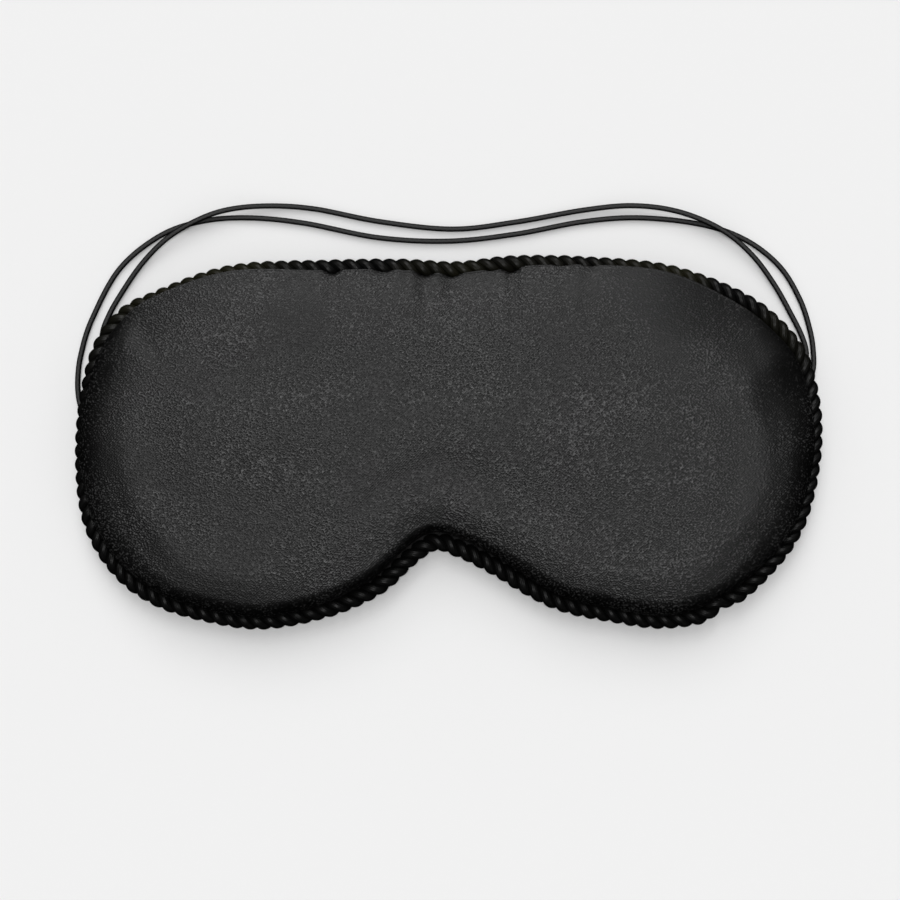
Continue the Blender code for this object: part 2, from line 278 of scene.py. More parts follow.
class Nodes:
    """Short calls for building one material's nodes."""

    def __init__(self, name):
        self.material = bpy.data.materials.new(name)
        self.material.use_nodes = True
        self.tree = self.material.node_tree
        self.shader = self.tree.nodes["Principled BSDF"]

    def node(self, kind, **settings):
        made = self.tree.nodes.new(kind)
        for key, value in settings.items():
            setattr(made, key, value)
        return made

    def put(self, socket, value):
        if isinstance(value, bpy.types.NodeSocket):
            self.tree.links.new(value, socket)
        else:
            socket.default_value = value

    def coords(self, kind="Object", scale=(1.0, 1.0, 1.0), turn=0.0):
        source = self.node("ShaderNodeTexCoord").outputs[kind]
        mapping = self.node("ShaderNodeMapping")
        self.put(mapping.inputs["Vector"], source)
        mapping.inputs["Scale"].default_value = scale
        mapping.inputs["Rotation"].default_value = (0.0, 0.0, turn)
        return mapping.outputs["Vector"]

    def noise(self, vector, scale=1.0, detail=2.0, rough=0.5, distortion=0.0):
        made = self.node("ShaderNodeTexNoise")
        self.put(made.inputs["Vector"], vector)
        made.inputs["Scale"].default_value = scale
        made.inputs["Detail"].default_value = detail
        made.inputs["Roughness"].default_value = rough
        made.inputs["Distortion"].default_value = distortion
        return made.outputs["Fac"]

    def math(self, operation, a, b=0.0, c=0.0):
        made = self.node("ShaderNodeMath", operation=operation)
        for socket, value in zip(made.inputs, (a, b, c)):
            self.put(socket, value)
        return made.outputs[0]

    def wave(self, vector, direction, period):
        """A sine from 0 to 1 along a direction of the vector, with a period."""
        dot = self.node("ShaderNodeVectorMath", operation="DOT_PRODUCT")
        self.put(dot.inputs[0], vector)
        dot.inputs[1].default_value = [2.0 * math.pi * d / period for d in direction]
        return self.math("MULTIPLY_ADD", self.math("SINE", dot.outputs["Value"]), 0.5, 0.5)

    def remap(self, value, low, high, out_low, out_high):
        made = self.node("ShaderNodeMapRange")
        for socket, number in zip(list(made.inputs)[:5], (value, low, high, out_low, out_high)):
            self.put(socket, number)
        return made.outputs[0]

    def mix(self, factor, a, b):
        made = self.node("ShaderNodeMix", data_type="RGBA")
        self.put(made.inputs["Factor"], factor)
        self.put(made.inputs[6], (*a, 1.0) if isinstance(a, tuple) else a)
        self.put(made.inputs[7], (*b, 1.0) if isinstance(b, tuple) else b)
        return made.outputs[2]

    def finish(self, colour, rough, height=None, depth=0.00002, **fixed):
        self.put(self.shader.inputs["Base Color"], colour)
        self.put(self.shader.inputs["Roughness"], rough)
        if height is not None:
            bump = self.node("ShaderNodeBump")
            bump.inputs["Strength"].default_value = 1.0
            bump.inputs["Distance"].default_value = depth
            self.put(bump.inputs["Height"], height)
            self.put(self.shader.inputs["Normal"], bump.outputs["Normal"])
        for key, value in fixed.items():
            self.shader.inputs[key.replace("_", " ")].default_value = value
        return self.material


def satin(name, dark, light, rough, grain_depth, gloss):
    """Woven satin: fine fibre grain, a faint diagonal rib, cross threads and soft mottling."""
    n = Nodes(name)
    place = n.coords()
    grain = n.noise(n.coords(scale=(1.0, 1.15, 1.0), turn=0.5), 1900.0, 0.0, 0.5)
    coarse = n.noise(place, 560.0, 2.0, 0.55)
    threads = n.noise(n.coords(scale=(0.05, 1.0, 1.0)), 1300.0, 1.0, 0.5)
    mottle = n.noise(place, 46.0, 2.0, 0.5, 0.4)
    rib = n.wave(place, (0.707, -0.707, 0.0), 0.00052)
    grainy = n.remap(mottle, 0.38, 0.6, 0.7, 1.1)
    fibre = n.math("MULTIPLY_ADD", n.math("SUBTRACT", grain, 0.5), grainy, 0.5)
    tone = n.math("ADD", n.math("MULTIPLY", fibre, 2.2), n.math("MULTIPLY", coarse, 0.25))
    tone = n.math("ADD", tone, n.math("MULTIPLY", threads, 0.3))
    tone = n.math("ADD", tone, n.math("MULTIPLY", rib, 0.14))
    tone = n.math("ADD", tone, n.math("MULTIPLY", mottle, 0.6))
    colour = n.mix(n.remap(tone, 1.85, 2.35, 0.0, 1.0), dark, light)
    shine = n.math("ADD", fibre, n.math("MULTIPLY", mottle, 0.35))
    shine = n.math("ADD", shine, n.math("MULTIPLY", rib, 0.10))
    roughness = n.remap(shine, 0.45, 1.0, rough + 0.09, rough - 0.09)
    height = n.math("ADD", fibre, n.math("MULTIPLY", rib, 0.16))
    height = n.math("ADD", height, n.math("MULTIPLY", threads, 0.22))
    height = n.math("ADD", height, n.math("MULTIPLY", coarse, 0.35))
    return n.finish(colour, roughness, height, grain_depth, Specular_IOR_Level=gloss)


def rope_yarn(name):
    """Glossy fibres of the rope, nearly in line with the rope, with a painted olive highlight in
    patches along its brow side.
    """
    n = Nodes(name)
    uv = n.coords("UV")
    fibres = n.wave(uv, (12.0, 0.6, 0.0), 1.0)
    fine = n.noise(n.coords("UV", scale=(60.0, 1.3, 1.0)), 1.0, 2.0, 0.6)
    patch = n.noise(n.coords(), 34.0, 1.0, 0.5)
    brow = n.node("ShaderNodeSeparateXYZ")
    n.put(brow.inputs[0], n.coords())
    high = n.remap(brow.outputs["Y"], 0.018, 0.05, 0.0, 1.0)
    # Painted highlight: a lighter olive tint in patches on the brow side of the rope, standing in for
    # light falling there.
    painted_highlight_mask = n.math("MULTIPLY", n.remap(patch, 0.42, 0.62, 0.0, 1.0), high)
    black = n.mix(fine, (0.0010, 0.0010, 0.0010), (0.0042, 0.0042, 0.0041))
    colour = n.mix(painted_highlight_mask, black, (0.0110, 0.0104, 0.0052))
    rough = n.remap(fine, 0.3, 0.7, 0.30, 0.44)
    height = n.math("ADD", n.math("MULTIPLY", fibres, 0.6), n.math("MULTIPLY", fine, 0.7))
    return n.finish(colour, rough, height, 0.00007, Specular_IOR_Level=0.18)


def elastic_braid(name):
    """Round braided elastic: crossing plaits, with painted shade making its two sides near black,
    where a round cord turns away from the light above.
    """
    n = Nodes(name)
    uv = n.coords("UV")
    right = n.wave(uv, (PLAITS, PLAIT_TURNS, 0.0), 1.0)
    left = n.wave(uv, (PLAITS, -PLAIT_TURNS, 0.0), 1.0)
    plait = n.math("MAXIMUM", right, left)
    fine = n.noise(n.coords("UV", scale=(40.0, 3.0, 1.0)), 1.0, 2.0, 0.6)
    around = n.node("ShaderNodeSeparateXYZ")
    n.put(around.inputs[0], uv)
    facing = n.math("SINE", n.math("MULTIPLY", around.outputs["X"], 2.0 * math.pi))
    middle = n.remap(n.math("MULTIPLY", facing, facing), 0.6, 0.85, 0.0, 1.0)
    tone = n.math("ADD", n.math("MULTIPLY", plait, 0.5), n.math("MULTIPLY", fine, 0.6))
    yarn = n.mix(tone, (0.014, 0.014, 0.014), (0.040, 0.040, 0.040))
    # Painted shade: the sides of the cord, between its top and underside, are painted near black.
    colour = n.mix(middle, (0.0015, 0.0015, 0.0015), yarn)
    rough = n.remap(fine, 0.3, 0.7, 0.5, 0.62)
    height = n.math("ADD", plait, n.math("MULTIPLY", fine, 0.5))
    return n.finish(colour, rough, height, 0.00004, Specular_IOR_Level=0.16)


def sewing_thread(name):
    """Two-ply thread: slanting ridges round it."""
    n = Nodes(name)
    uv = n.coords("UV")
    ply = n.wave(uv, (2.0, 1.6, 0.0), 1.0)
    fine = n.noise(n.coords("UV", scale=(20.0, 6.0, 1.0)), 1.0, 2.0, 0.6)
    colour = n.mix(n.math("MULTIPLY", ply, fine), (0.003, 0.003, 0.003), (0.018, 0.018, 0.018))
    rough = n.remap(fine, 0.3, 0.7, 0.42, 0.6)
    return n.finish(colour, rough, ply, 0.00003, Specular_IOR_Level=0.4)


def woven(name, dark, light, period, rough):
    """Plain weave: warp and weft crossing at right angles."""
    n = Nodes(name)
    place = n.coords()
    warp = n.wave(place, (1.0, 0.0, 0.0), period)
    weft = n.wave(place, (0.0, 1.0, 0.0), period)
    cloth = n.math("MULTIPLY", warp, weft)
    fine = n.noise(place, 900.0, 2.0, 0.6)
    tone = n.math("ADD", n.math("MULTIPLY", cloth, 0.6), n.math("MULTIPLY", fine, 0.5))
    roughness = n.remap(fine, 0.3, 0.7, rough - 0.06, rough + 0.06)
    return n.finish(n.mix(tone, dark, light), roughness, cloth, 0.00005, Specular_IOR_Level=0.3)


def fluff(name):
    """Polyester wadding: tangled white fibres."""
    n = Nodes(name)
    place = n.coords()
    tangle = n.noise(place, 420.0, 5.0, 0.75, 1.6)
    lumps = n.noise(place, 70.0, 2.0, 0.5)
    tone = n.math("ADD", n.math("MULTIPLY", tangle, 0.7), n.math("MULTIPLY", lumps, 0.3))
    colour = n.mix(tone, (0.58, 0.58, 0.55), (0.86, 0.86, 0.83))
    rough = n.remap(tangle, 0.3, 0.7, 0.85, 0.98)
    return n.finish(colour, rough, tangle, 0.0003, Specular_IOR_Level=0.2)


def paper(name):
    """The pale matt surface under the mask."""
    n = Nodes(name)
    fine = n.noise(n.coords(), 300.0, 2.0, 0.5)
    colour = n.mix(fine, (0.798, 0.798, 0.798), (0.802, 0.802, 0.802))
    return n.finish(colour, 1.0, Specular_IOR_Level=0.0)


# ---------------------------------------------------------------- stage

def build_stage():
    """Camera, lights, floor and a pale sky."""
    camera = bpy.data.objects.new("camera", bpy.data.cameras.new("camera"))
    camera.data.lens = CAMERA_LENS
    camera.data.sensor_width = 36.0
    camera.data.clip_start = 0.01
    camera.location = CAMERA_PLACE
    bpy.context.scene.collection.objects.link(camera)
    bpy.context.scene.camera = camera

    # A strip of soft lights overhead that runs back towards the brow, and four weak low ones all
    # round: (tilt towards +Y, tilt towards -X, width of the disc, strength), angles in degrees.
    for index, (back, left, width, power) in enumerate((
        (-1.0, 0.0, 20.0, 1.15),
        (29.0, 3.0, 24.0, 0.44),
        (54.0, 6.0, 34.0, 1.30),
        (60.0, 60.0, 40.0, 0.11),
        (60.0, -60.0, 40.0, 0.11),
        (-60.0, 60.0, 40.0, 0.07),
        (-60.0, -60.0, 40.0, 0.07),
    )):
        lamp = bpy.data.lights.new(f"strip_light_{index}", "SUN")
        lamp.angle = math.radians(width)
        lamp.energy = power
        holder = bpy.data.objects.new(lamp.name, lamp)
        towards = Vector((-math.tan(math.radians(left)), math.tan(math.radians(back)), 1.0))
        holder.rotation_euler = towards.to_track_quat("Z", "Y").to_euler()
        bpy.context.scene.collection.objects.link(holder)

    world = bpy.data.worlds.new("pale_room")
    world.use_nodes = True
    tree = world.node_tree
    background = tree.nodes["Background"]
    background.inputs["Color"].default_value = (1.0, 1.0, 1.0, 1.0)
    background.inputs["Strength"].default_value = SKY_LIGHT
    seen = tree.nodes.new("ShaderNodeBackground")
    seen.inputs["Color"].default_value = (SKY_SEEN, SKY_SEEN, SKY_SEEN, 1.0)
    mixer = tree.nodes.new("ShaderNodeMixShader")
    path = tree.nodes.new("ShaderNodeLightPath")
    tree.links.new(path.outputs["Is Camera Ray"], mixer.inputs["Fac"])
    tree.links.new(background.outputs[0], mixer.inputs[1])
    tree.links.new(seen.outputs[0], mixer.inputs[2])
    tree.links.new(mixer.outputs[0], tree.nodes["World Output"].inputs["Surface"])
    bpy.context.scene.world = world
    bpy.context.scene.view_settings.view_transform = "Standard"

    corners = [(x * FLOOR_HALF, y * FLOOR_HALF, 0.0) for x, y in ((-1, -1), (1, -1), (1, 1), (-1, 1))]
    floor = new_mesh("floor", corners, [(0, 1, 2, 3)])
    floor.location.z = -0.02 * MM
    floor.data.materials.append(paper("pale_paper"))

    # The black satin's flanks stay black: neither the sky nor the floor is mirrored in them.
    world.cycles_visibility.glossy = False
    floor.visible_glossy = floor.visible_diffuse = False


# ---------------------------------------------------------------- elastic straps

def build_elastic(node, route, material):
    """One elastic cord, from sewn-in end to sewn-in end, that bends where it leaves the seam."""
    curve = open_curve(route)
    total = arc_lengths(curve)[-1]
    count = int(total / ELASTIC_STEP) + 1
    path = at_lengths(curve, np.linspace(0.0, total, count))
    tangent = unit(np.gradient(path, axis=0))
    side = unit(np.cross(tangent, UP))
    across = np.cross(side, tangent)
    radius = ELASTIC_D / 2.0
    radii = radius * rounded_ends(count, total / (count - 1), radius)
    radii = np.stack([radii, radii], axis=1)
    verts, faces, uvs = sweep(path, side, across, radii, ELASTIC_SIDES)

    # A fine plaited relief, so that the outline is a braid's and not a smooth wire's.
    along = PLAIT_TURNS * np.repeat(np.linspace(0.0, total, count), ELASTIC_SIDES) / MM
    turn = PLAITS * np.tile(np.arange(ELASTIC_SIDES) / ELASTIC_SIDES, count)
    relief = np.maximum(np.cos(2.0 * np.pi * (turn + along)), np.cos(2.0 * np.pi * (turn - along)))
    centres = np.repeat(path, ELASTIC_SIDES, axis=0)
    verts = centres + (verts - centres) * (1.0 + PLAIT_RELIEF * (relief - 0.6))[:, None]
    cord = new_mesh(node + "_elastic", verts, faces, uvs)
    cord.data.materials.append(material)
    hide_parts(node, node + "_left_end", node + "_right_end")

    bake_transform(cord)


# ---------------------------------------------------------------- rope round the edge

def rope_path(edge):
    """Middle of the rope, its inward and upward directions, and the lengths along the edge. At the
    join both ends turn inwards, and the arriving end lies over the leaving one."""
    loop = np.vstack([edge, edge[:1]])
    total = arc_lengths(loop)[-1]
    wanted = np.arange(-LEAVES_BEFORE, total + ARRIVES_AFTER, ROPE_STEP)
    flat = at_lengths(loop, wanted % total)
    tangent = unit(np.gradient(flat, axis=0))
    inward = np.stack([-tangent[:, 1], tangent[:, 0]], axis=1)
    leaving = 1.0 - smooth(-LEAVES_BEFORE, JOIN_REACH, wanted)
    arriving = smooth(total - 3.5 * MM, total + 3.5 * MM, wanted)
    bulge = bump_of(wanted, total - 5.0 * MM, 4.0 * MM)
    offset = (2.4 * leaving + 2.0 * arriving - 0.35 * bulge) * MM
    height = EDGE_CORD_Z + (0.3 * arriving - 0.5 * leaving) * MM
    path = np.column_stack([flat + offset[:, None] * inward, height])
    tangent = unit(np.gradient(path, axis=0))
    inward = unit(np.cross(UP, tangent))
    return path, inward, np.cross(tangent, inward), wanted


def wander(along, density, strand, seed):
    """A slow unevenness along one strand."""
    return np.array([noise.noise(Vector((s * density, strand, seed))) for s in along])


def build_rope(edge, material):
    path, inward, upward, along = rope_path(edge)
    ends = rounded_ends(len(path), ROPE_STEP, STRAND_RADIAL_R)
    pieces = []
    for strand in range(STRANDS):
        turn = 2.0 * np.pi * (along / LAY + strand / STRANDS)
        wobble = wander(along, 55.0, 7.3 * strand, 1.7)
        out = np.cos(turn)[:, None] * inward + np.sin(turn)[:, None] * upward
        centre = path + (HELIX_R + 0.06 * MM * wobble[:, None]) * out
        heading = unit(np.gradient(centre, axis=0))
        side = unit(out - (out * heading).sum(axis=1, keepdims=True) * heading)
        across = np.cross(heading, side)
        full = ends * (1.0 + 0.035 * wander(along, 120.0, 3.1 * strand, 9.2))
        radii = np.stack([STRAND_RADIAL_R * full, STRAND_SIDE_R * full], axis=1)
        pieces.append(sweep(centre, side, across, radii, STRAND_SIDES))
    rope = new_mesh("edge_rope", *joined(pieces))
    rope.data.materials.append(material)
    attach(rope, "mask")
    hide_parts("edge_cord")


# ---------------------------------------------------------------- padded body

def eased(loop, width):
    """The closed loop, smoothed round its corners; width is a number of points."""
    reach = np.arange(-3 * width, 3 * width + 1)
    weights = np.exp(-0.5 * (reach / width) ** 2)
    return sum(w * np.roll(loop, -r, axis=0) for w, r in zip(weights / weights.sum(), reach))


def inward_of(loop):
    tangent = unit(np.roll(loop, -1, axis=0) - np.roll(loop, 1, axis=0))
    return np.stack([-tangent[:, 1], tangent[:, 0]], axis=1)


def inset(loop, distance):
    """The closed anticlockwise loop, moved inwards by a distance, one for all or one for each. A
    large move eases round the corners, so that neighbouring points never cross."""
    distance = np.broadcast_to(np.asarray(distance, float), (len(loop),))[:, None]
    ease = smooth(3.5 * MM, 9.0 * MM, distance)
    direction = unit((1.0 - ease) * inward_of(loop) + ease * inward_of(eased(loop, CORNER_EASE)))
    return loop + distance * direction


def mirror_of(loop):
    """For each point of the loop, the point across the spine from it."""
    count = len(loop)
    right = [i for i in range(count) if loop[i, 0] > 80.0 * MM]
    turn = min(right, key=lambda i: abs(loop[i, 1] - loop[(i + count // 2) % count, 1]))
    return (2 * turn - np.arange(count)) % count


def profile_of(edge, lip):
    """At each point of the edge, in mm: where the satin's rolled edge is, its height, the width of
    the tight roll, the width and rise of the gentle slope after it, and the share of the brow's
    broad roll. Low bumps along x and y widen the roll at the sides, shoulders and lower lobes."""
    x, y = edge[:, 0] / MM, edge[:, 1] / MM
    facing_brow = -inward_of(eased(edge, 2))[:, 1]
    brow = smooth(0.50, 0.98, facing_brow) * (y > 0.0)
    side = smooth(76.0, 96.0, np.abs(x)) * (1.0 - brow)
    nose = bump_of(x, -4.0, 26.0) * (y < 0.0)
    shoulder = bump_of(x, 100.0, 12.0) * bump_of(y, 15.0, 10.0)
    lobe = bump_of(np.abs(x), 55.0, 24.0) * (y < 0.0)
    corner = bump_of(np.abs(x), 88.0, 9.0) * bump_of(y, -38.0, 9.0)
    gathers = sum(depth * bump_of(x, place, half) for place, depth, half in PUCKERS) * (y > 0.0)
    height = 6.5 + 0.3 * np.maximum(2.0 - lip, 0.0) + 1.0 * brow
    tight = 4.6 + 2.9 * side + 4.0 * shoulder - 0.6 * corner - 1.9 * nose
    gentle = 11.0 + 4.0 * side + 4.5 * shoulder + 2.0 * lobe - 2.0 * nose
    gentle_rise = 0.9 + 1.1 * side + 1.3 * shoulder + 0.5 * lobe - 0.3 * corner
    return lip - 0.1 * brow + 0.8 * gathers, height, tight, gentle, gentle_rise, brow


def quarter(t):
    t = np.clip(t, 0.0, 1.0)
    return np.sqrt(1.0 - (1.0 - t) ** 2)


def slope_out(t):
    return 1.0 - (1.0 - np.clip(t, 0.0, 1.0)) ** 2


def spine_of(edge):
    mirror = mirror_of(edge)
    x = 0.5 * SPINE_LENGTH_SHARE * (edge[:, 0] + edge[mirror, 0])
    return np.stack([x, np.full(len(edge), SPINE_Y * MM)], axis=1)


def flat_rings(line, profile):
    """Rings beside the line, one for each (distance in, height) of the profile, in mm."""
    return [np.column_stack([inset(line, a * MM), np.full(len(line), z * MM)]) for a, z in profile]


def towards_spine(made, edge, heights):
    """Adds rings from the last one to the spine, where each point meets its mirror."""
    last, spine = made[-1][:, :2], spine_of(edge)
    for share, z in zip(SPINE_SHARES, heights):
        made.append(np.column_stack([last + share * (spine - last), np.full(len(edge), z * MM)]))
    return np.array(made)


def front_rings(edge, lip):
    """Rings of the front from the seam inwards, as (rings, around, 3)."""
    lip, height, tight, gentle, gentle_rise, brow = profile_of(edge, lip)
    rings = [(np.full(len(edge), SEAM_INSET), np.full(len(edge), FRONT_SEAM_Z))]
    rings.append((0.35 * SEAM_INSET + 0.65 * lip + 0.15, 0.25 * FRONT_SEAM_Z + 0.75 * height))
    for step in range(ROLL_STEPS):
        angle = (0.04 + 0.96 * step / (ROLL_STEPS - 1)) * math.pi / 2.0
        reach = (ROLL_INSET - lip) * (1.0 - math.cos(angle))
        full = CROWN_Z - height
        rounded = (full - gentle_rise) * quarter(reach / tight)
        rounded = rounded + gentle_rise * slope_out(reach / gentle)
        sloping = full * slope_out((np.hypot(reach, BROW_EASE) - BROW_EASE) / BROW_ROLL)
        rings.append((lip + reach, height + (1.0 - brow) * rounded + brow * sloping))
    made = [np.column_stack([inset(edge, a * MM), z * MM]) for a, z in rings]
    return towards_spine(made, edge, [CROWN_Z + DOME * smooth(0.0, 1.0, s) for s in SPINE_SHARES])


def back_rings(edge):
    return towards_spine(flat_rings(edge, BACK_PROFILE), edge, [BACK_REST_Z] * len(SPINE_SHARES))


def grid_faces(rings, around, flip=False):
    faces = []
    for k in range(rings - 1):
        for i in range(around):
            j = (i + 1) % around
            quad = (k * around + i, k * around + j, (k + 1) * around + j, (k + 1) * around + i)
            faces.append(quad[::-1] if flip else quad)
    return faces


def closed_skin(upper, lower, mirror, flip=False):
    """Vertices and faces of a closed skin: an upper and a lower surface of rings, each closed along
    its spine, joined along the first ring. Also the kept vertex that stands for each ring point."""
    around = upper.shape[1]
    verts = np.vstack([upper.reshape(-1, 3), lower.reshape(-1, 3)])
    second = len(upper) * around
    stands = np.arange(len(verts))
    for base in (second - around, len(verts) - around):
        stands[base:base + around] = base + np.minimum(np.arange(around), mirror)
    faces = grid_faces(len(upper), around, flip)
    faces += [tuple(second + v for v in face) for face in grid_faces(len(lower), around, not flip)]
    for i in range(around):
        j = (i + 1) % around
        rim = (second + i, second + j, j, i)
        faces.append(rim[::-1] if flip else rim)
    kept = np.unique(stands)
    place = np.searchsorted(kept, stands)
    tidy = []
    for face in faces:
        corners = [int(place[v]) for v in face]
        corners = [v for k, v in enumerate(corners) if v != corners[k - 1]]
        if len(set(corners)) >= 3:
            tidy.append(tuple(corners))
    return verts[kept], tidy, place


def swell(front, back, mirror):
    """Blows the two sewn skins up with Blender's cloth, and returns how far each point moved."""
    around = front.shape[1]
    verts, faces, place = closed_skin(front, back, mirror)
    skin = new_mesh("swelling_skin", verts, faces)
    seam = skin.vertex_groups.new(name="seam")
    second = front.shape[0] * around
    sewn = [int(place[v]) for v in list(range(around)) + list(range(second, second + around))]
    seam.add(sewn, 1.0, "REPLACE")
    cloth = skin.modifiers.new("cloth", "CLOTH")
    settings = cloth.settings
    settings.quality = 6
    settings.mass = 0.15
    settings.tension_stiffness = settings.compression_stiffness = 12.0
    settings.shear_stiffness = 5.0
    settings.bending_stiffness = 2.0
    settings.use_pressure = True
    settings.uniform_pressure_force = 4.0
    settings.vertex_group_mass = "seam"
    settings.effector_weights.gravity = 0.0
    cloth.collision_settings.use_collision = False
    cloth.point_cache.frame_start, cloth.point_cache.frame_end = 1, SWELL_FRAMES
    scene = bpy.context.scene
    for number in range(1, SWELL_FRAMES + 1):
        scene.frame_set(number)
    evaluated = skin.evaluated_get(bpy.context.evaluated_depsgraph_get())
    moved = np.empty(len(verts) * 3, np.float32)
    evaluated.data.vertices.foreach_get("co", moved)
    moved = (moved.reshape(-1, 3).astype(float) - verts)[place]
    scene.frame_set(1)
    bpy.data.objects.remove(skin, do_unlink=True)
    return [broad(part.reshape(-1, around, 3), mirror) for part in (moved[:second], moved[second:])]


def broad(moved, mirror):
    """The broad part of the swelling, without the small wrinkles of a coarse cloth."""
    for _ in range(SWELL_CALM):
        padded = np.concatenate([moved[:1], moved, moved[-2:-1, mirror]])
        moved = 0.25 * padded[:-2] + 0.5 * moved + 0.25 * padded[2:]
        for shift in (1, 2, 4):
            before, after = np.roll(moved, shift, axis=1), np.roll(moved, -shift, axis=1)
            moved = 0.25 * before + 0.5 * moved + 0.25 * after
    return moved


def soft_cap(moved, limit):
    """The moves, with their lengths eased so that none passes the limit."""
    length = np.linalg.norm(moved, axis=-1, keepdims=True)
    capped = limit * np.tanh(length / limit) / np.maximum(length, 1e-9)
    return moved * np.where(length > 1e-9, capped, 1.0)


def finer(rings, mirror):
    """Twice as many rings and twice as many points round, on smooth curves."""
    before, after = np.roll(rings, 1, axis=1), np.roll(rings, -1, axis=1)
    middle = catmull_rom(before, rings, after, np.roll(rings, -2, axis=1), 0.5)
    doubled = np.empty((rings.shape[0], rings.shape[1] * 2, 3))
    doubled[:, 0::2], doubled[:, 1::2] = rings, middle
    across = finer_mirror(mirror)
    padded = np.concatenate([2 * doubled[:1] - doubled[1:2], doubled, doubled[-2:-1, across]])
    middle = catmull_rom(padded[:-3], padded[1:-2], padded[2:-1], padded[3:], 0.5)
    made = np.empty((2 * len(doubled) - 1, doubled.shape[1], 3))
    made[0::2], made[1::2] = doubled, middle
    return made


def finer_mirror(mirror):
    """The mirror of a loop with twice as many points."""
    count = 2 * len(mirror)
    return (2 * int(mirror[0]) - np.arange(count)) % count


def normals_of(rings, sign, mirror):
    """Unit normals of a surface of rings; sign is 1 for the front and -1 for the back."""
    along = np.roll(rings, -1, axis=1) - np.roll(rings, 1, axis=1)
    inward = np.gradient(rings, axis=0)
    normals = sign * unit(np.cross(along, inward))
    normals[-1] = unit(normals[-2] + normals[-2][mirror])
    return normals


def skin_object(name, upper, lower, mirror, material, flip=False):
    verts, faces, _ = closed_skin(upper, lower, mirror, flip)
    obj = new_mesh(name, verts, faces)
    obj.data.materials.append(material)
    return obj


def shell(name, rings, thickness, sign, mirror, material):
    """A closed thin layer of cloth on the inner side of the rings."""
    inner = rings - thickness * normals_of(rings, sign, mirror)
    return skin_object(name, rings, inner, mirror, material, flip=sign < 0)


def inner_rings(front, edge):
    """Rings for the layers inside: they follow the front satin, but start clear of the seam."""
    fine = np.empty((2 * len(edge), 2))
    fine[0::2], fine[1::2] = edge, 0.5 * (edge + np.roll(edge, -1, axis=0))
    roll_end = 2 * (ROLL_STEPS + 1)
    depth = ((front[4:roll_end + 1, :, :2] - fine) * inward_of(fine)).sum(axis=2)
    wanted = np.array(INNER_INSETS) * MM
    made = np.empty((len(wanted), len(fine), 3))
    for i in range(len(fine)):
        for axis in range(3):
            made[:, i, axis] = np.interp(wanted, depth[:, i], front[4:roll_end + 1, i, axis])
    return np.concatenate([made, front[roll_end::2]])


def build_body(edge):
    """Front and back satin, interlining and wadding."""
    loop = np.vstack([edge, edge[:1]])
    total = arc_lengths(loop)[-1]
    places = np.arange(AROUND) * total / AROUND
    coarse = at_lengths(loop, places)
    lip = closed_curve([(value,) for value in LIP]) / MM
    lip = at_lengths(np.vstack([lip, lip[:1]]), places, arc_lengths(loop))[:, 0]
    mirror = mirror_of(coarse)
    front, back = front_rings(coarse, lip), back_rings(coarse)
    front_moved, back_moved = swell(front, back, mirror)
    front = front + soft_cap(front_moved, FRONT_SWELL * MM)
    back = back + soft_cap(back_moved, BACK_SWELL * MM)
    back[:, :, 2] = np.maximum(back[:, :, 2], BACK_REST_Z * MM)
    front, back = finer(front, mirror), finer(back, mirror)
    mirror = finer_mirror(mirror)
    shape_front(front)

    front_satin = satin("satin_front", (0.0003,) * 3, (0.031,) * 3, 0.42, 0.00013, 0.30)
    back_satin = satin("satin_back", (0.0003,) * 3, (0.031,) * 3, 0.44, 0.00011, 0.30)
    top = shell("front_satin_panel", front, SATIN_T * MM, 1, mirror, front_satin)
    low = shell("back_satin_panel", back, SATIN_T * MM, -1, mirror, back_satin)
    for panel, node, slot in ((top, "front_panel", "front_satin"), (low, "back_panel", "back_satin")):
        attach(panel, "mask")
        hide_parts(node)

    inner, low_rings = inner_rings(front, coarse), back[6::2]
    up, down = normals_of(inner, 1, mirror), normals_of(low_rings, -1, mirror)
    lining = inner - 0.55 * MM * up
    weave = woven("interlining_weave", (0.003,) * 3, (0.009,) * 3, 0.6 * MM, 0.85)
    sheet = shell("interlining_sheet", lining, 0.4 * MM, 1, mirror, weave)
    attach(sheet, "mask")
    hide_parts("blackout_interlining")
    pad_top = inner - 1.15 * MM * up
    pad_low = low_rings - 0.6 * MM * down
    pad = skin_object("wadding_cushion", pad_top, pad_low, mirror, fluff("wadding_fluff"))
    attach(pad, "mask")
    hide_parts("wadding_pad")
    return front


def shape_front(front):
    """Folds where the turning gap is closed, and the slight unevenness of a soft filling."""
    count, around, _ = front.shape
    x, y = front[0, :, 0] / MM, front[0, :, 1] / MM
    brow = y > 0.0
    roll = 2 * (ROLL_STEPS + 1)

    # The seam fold shows as a narrow ledge along the satin's edge at both sides.
    ledge = 0.6 * smooth(70.0, 92.0, np.abs(x)) * (1.0 - smooth(36.0, 44.0, y))
    for ring in (4, 5):
        front[ring, :, 2] += ledge * (front[6, :, 2] - front[ring, :, 2])
    for place, depth, half in PUCKERS:
        for ring in range(1, roll):
            reach = math.exp(-(((ring - 3.0) / 3.8) ** 2))
            valley = depth * reach * bump_of(x, place, half * (1.0 + 0.12 * ring)) * brow
            front[ring, :, 1] -= 0.7 * valley * MM
            front[ring, :, 2] -= 0.8 * valley * MM
    for ring in range(3, count):
        share = min(1.0, (ring - 2) / 10.0)
        for i in range(around):
            px, py, _ = front[ring, i]
            soft = noise.noise(Vector((px * 38.0, py * 46.0, 0.4)))
            small = noise.noise(Vector((px * 110.0, py * 120.0, 5.1)))
            front[ring, i, 2] += share * (0.17 * soft + 0.02 * small) * MM


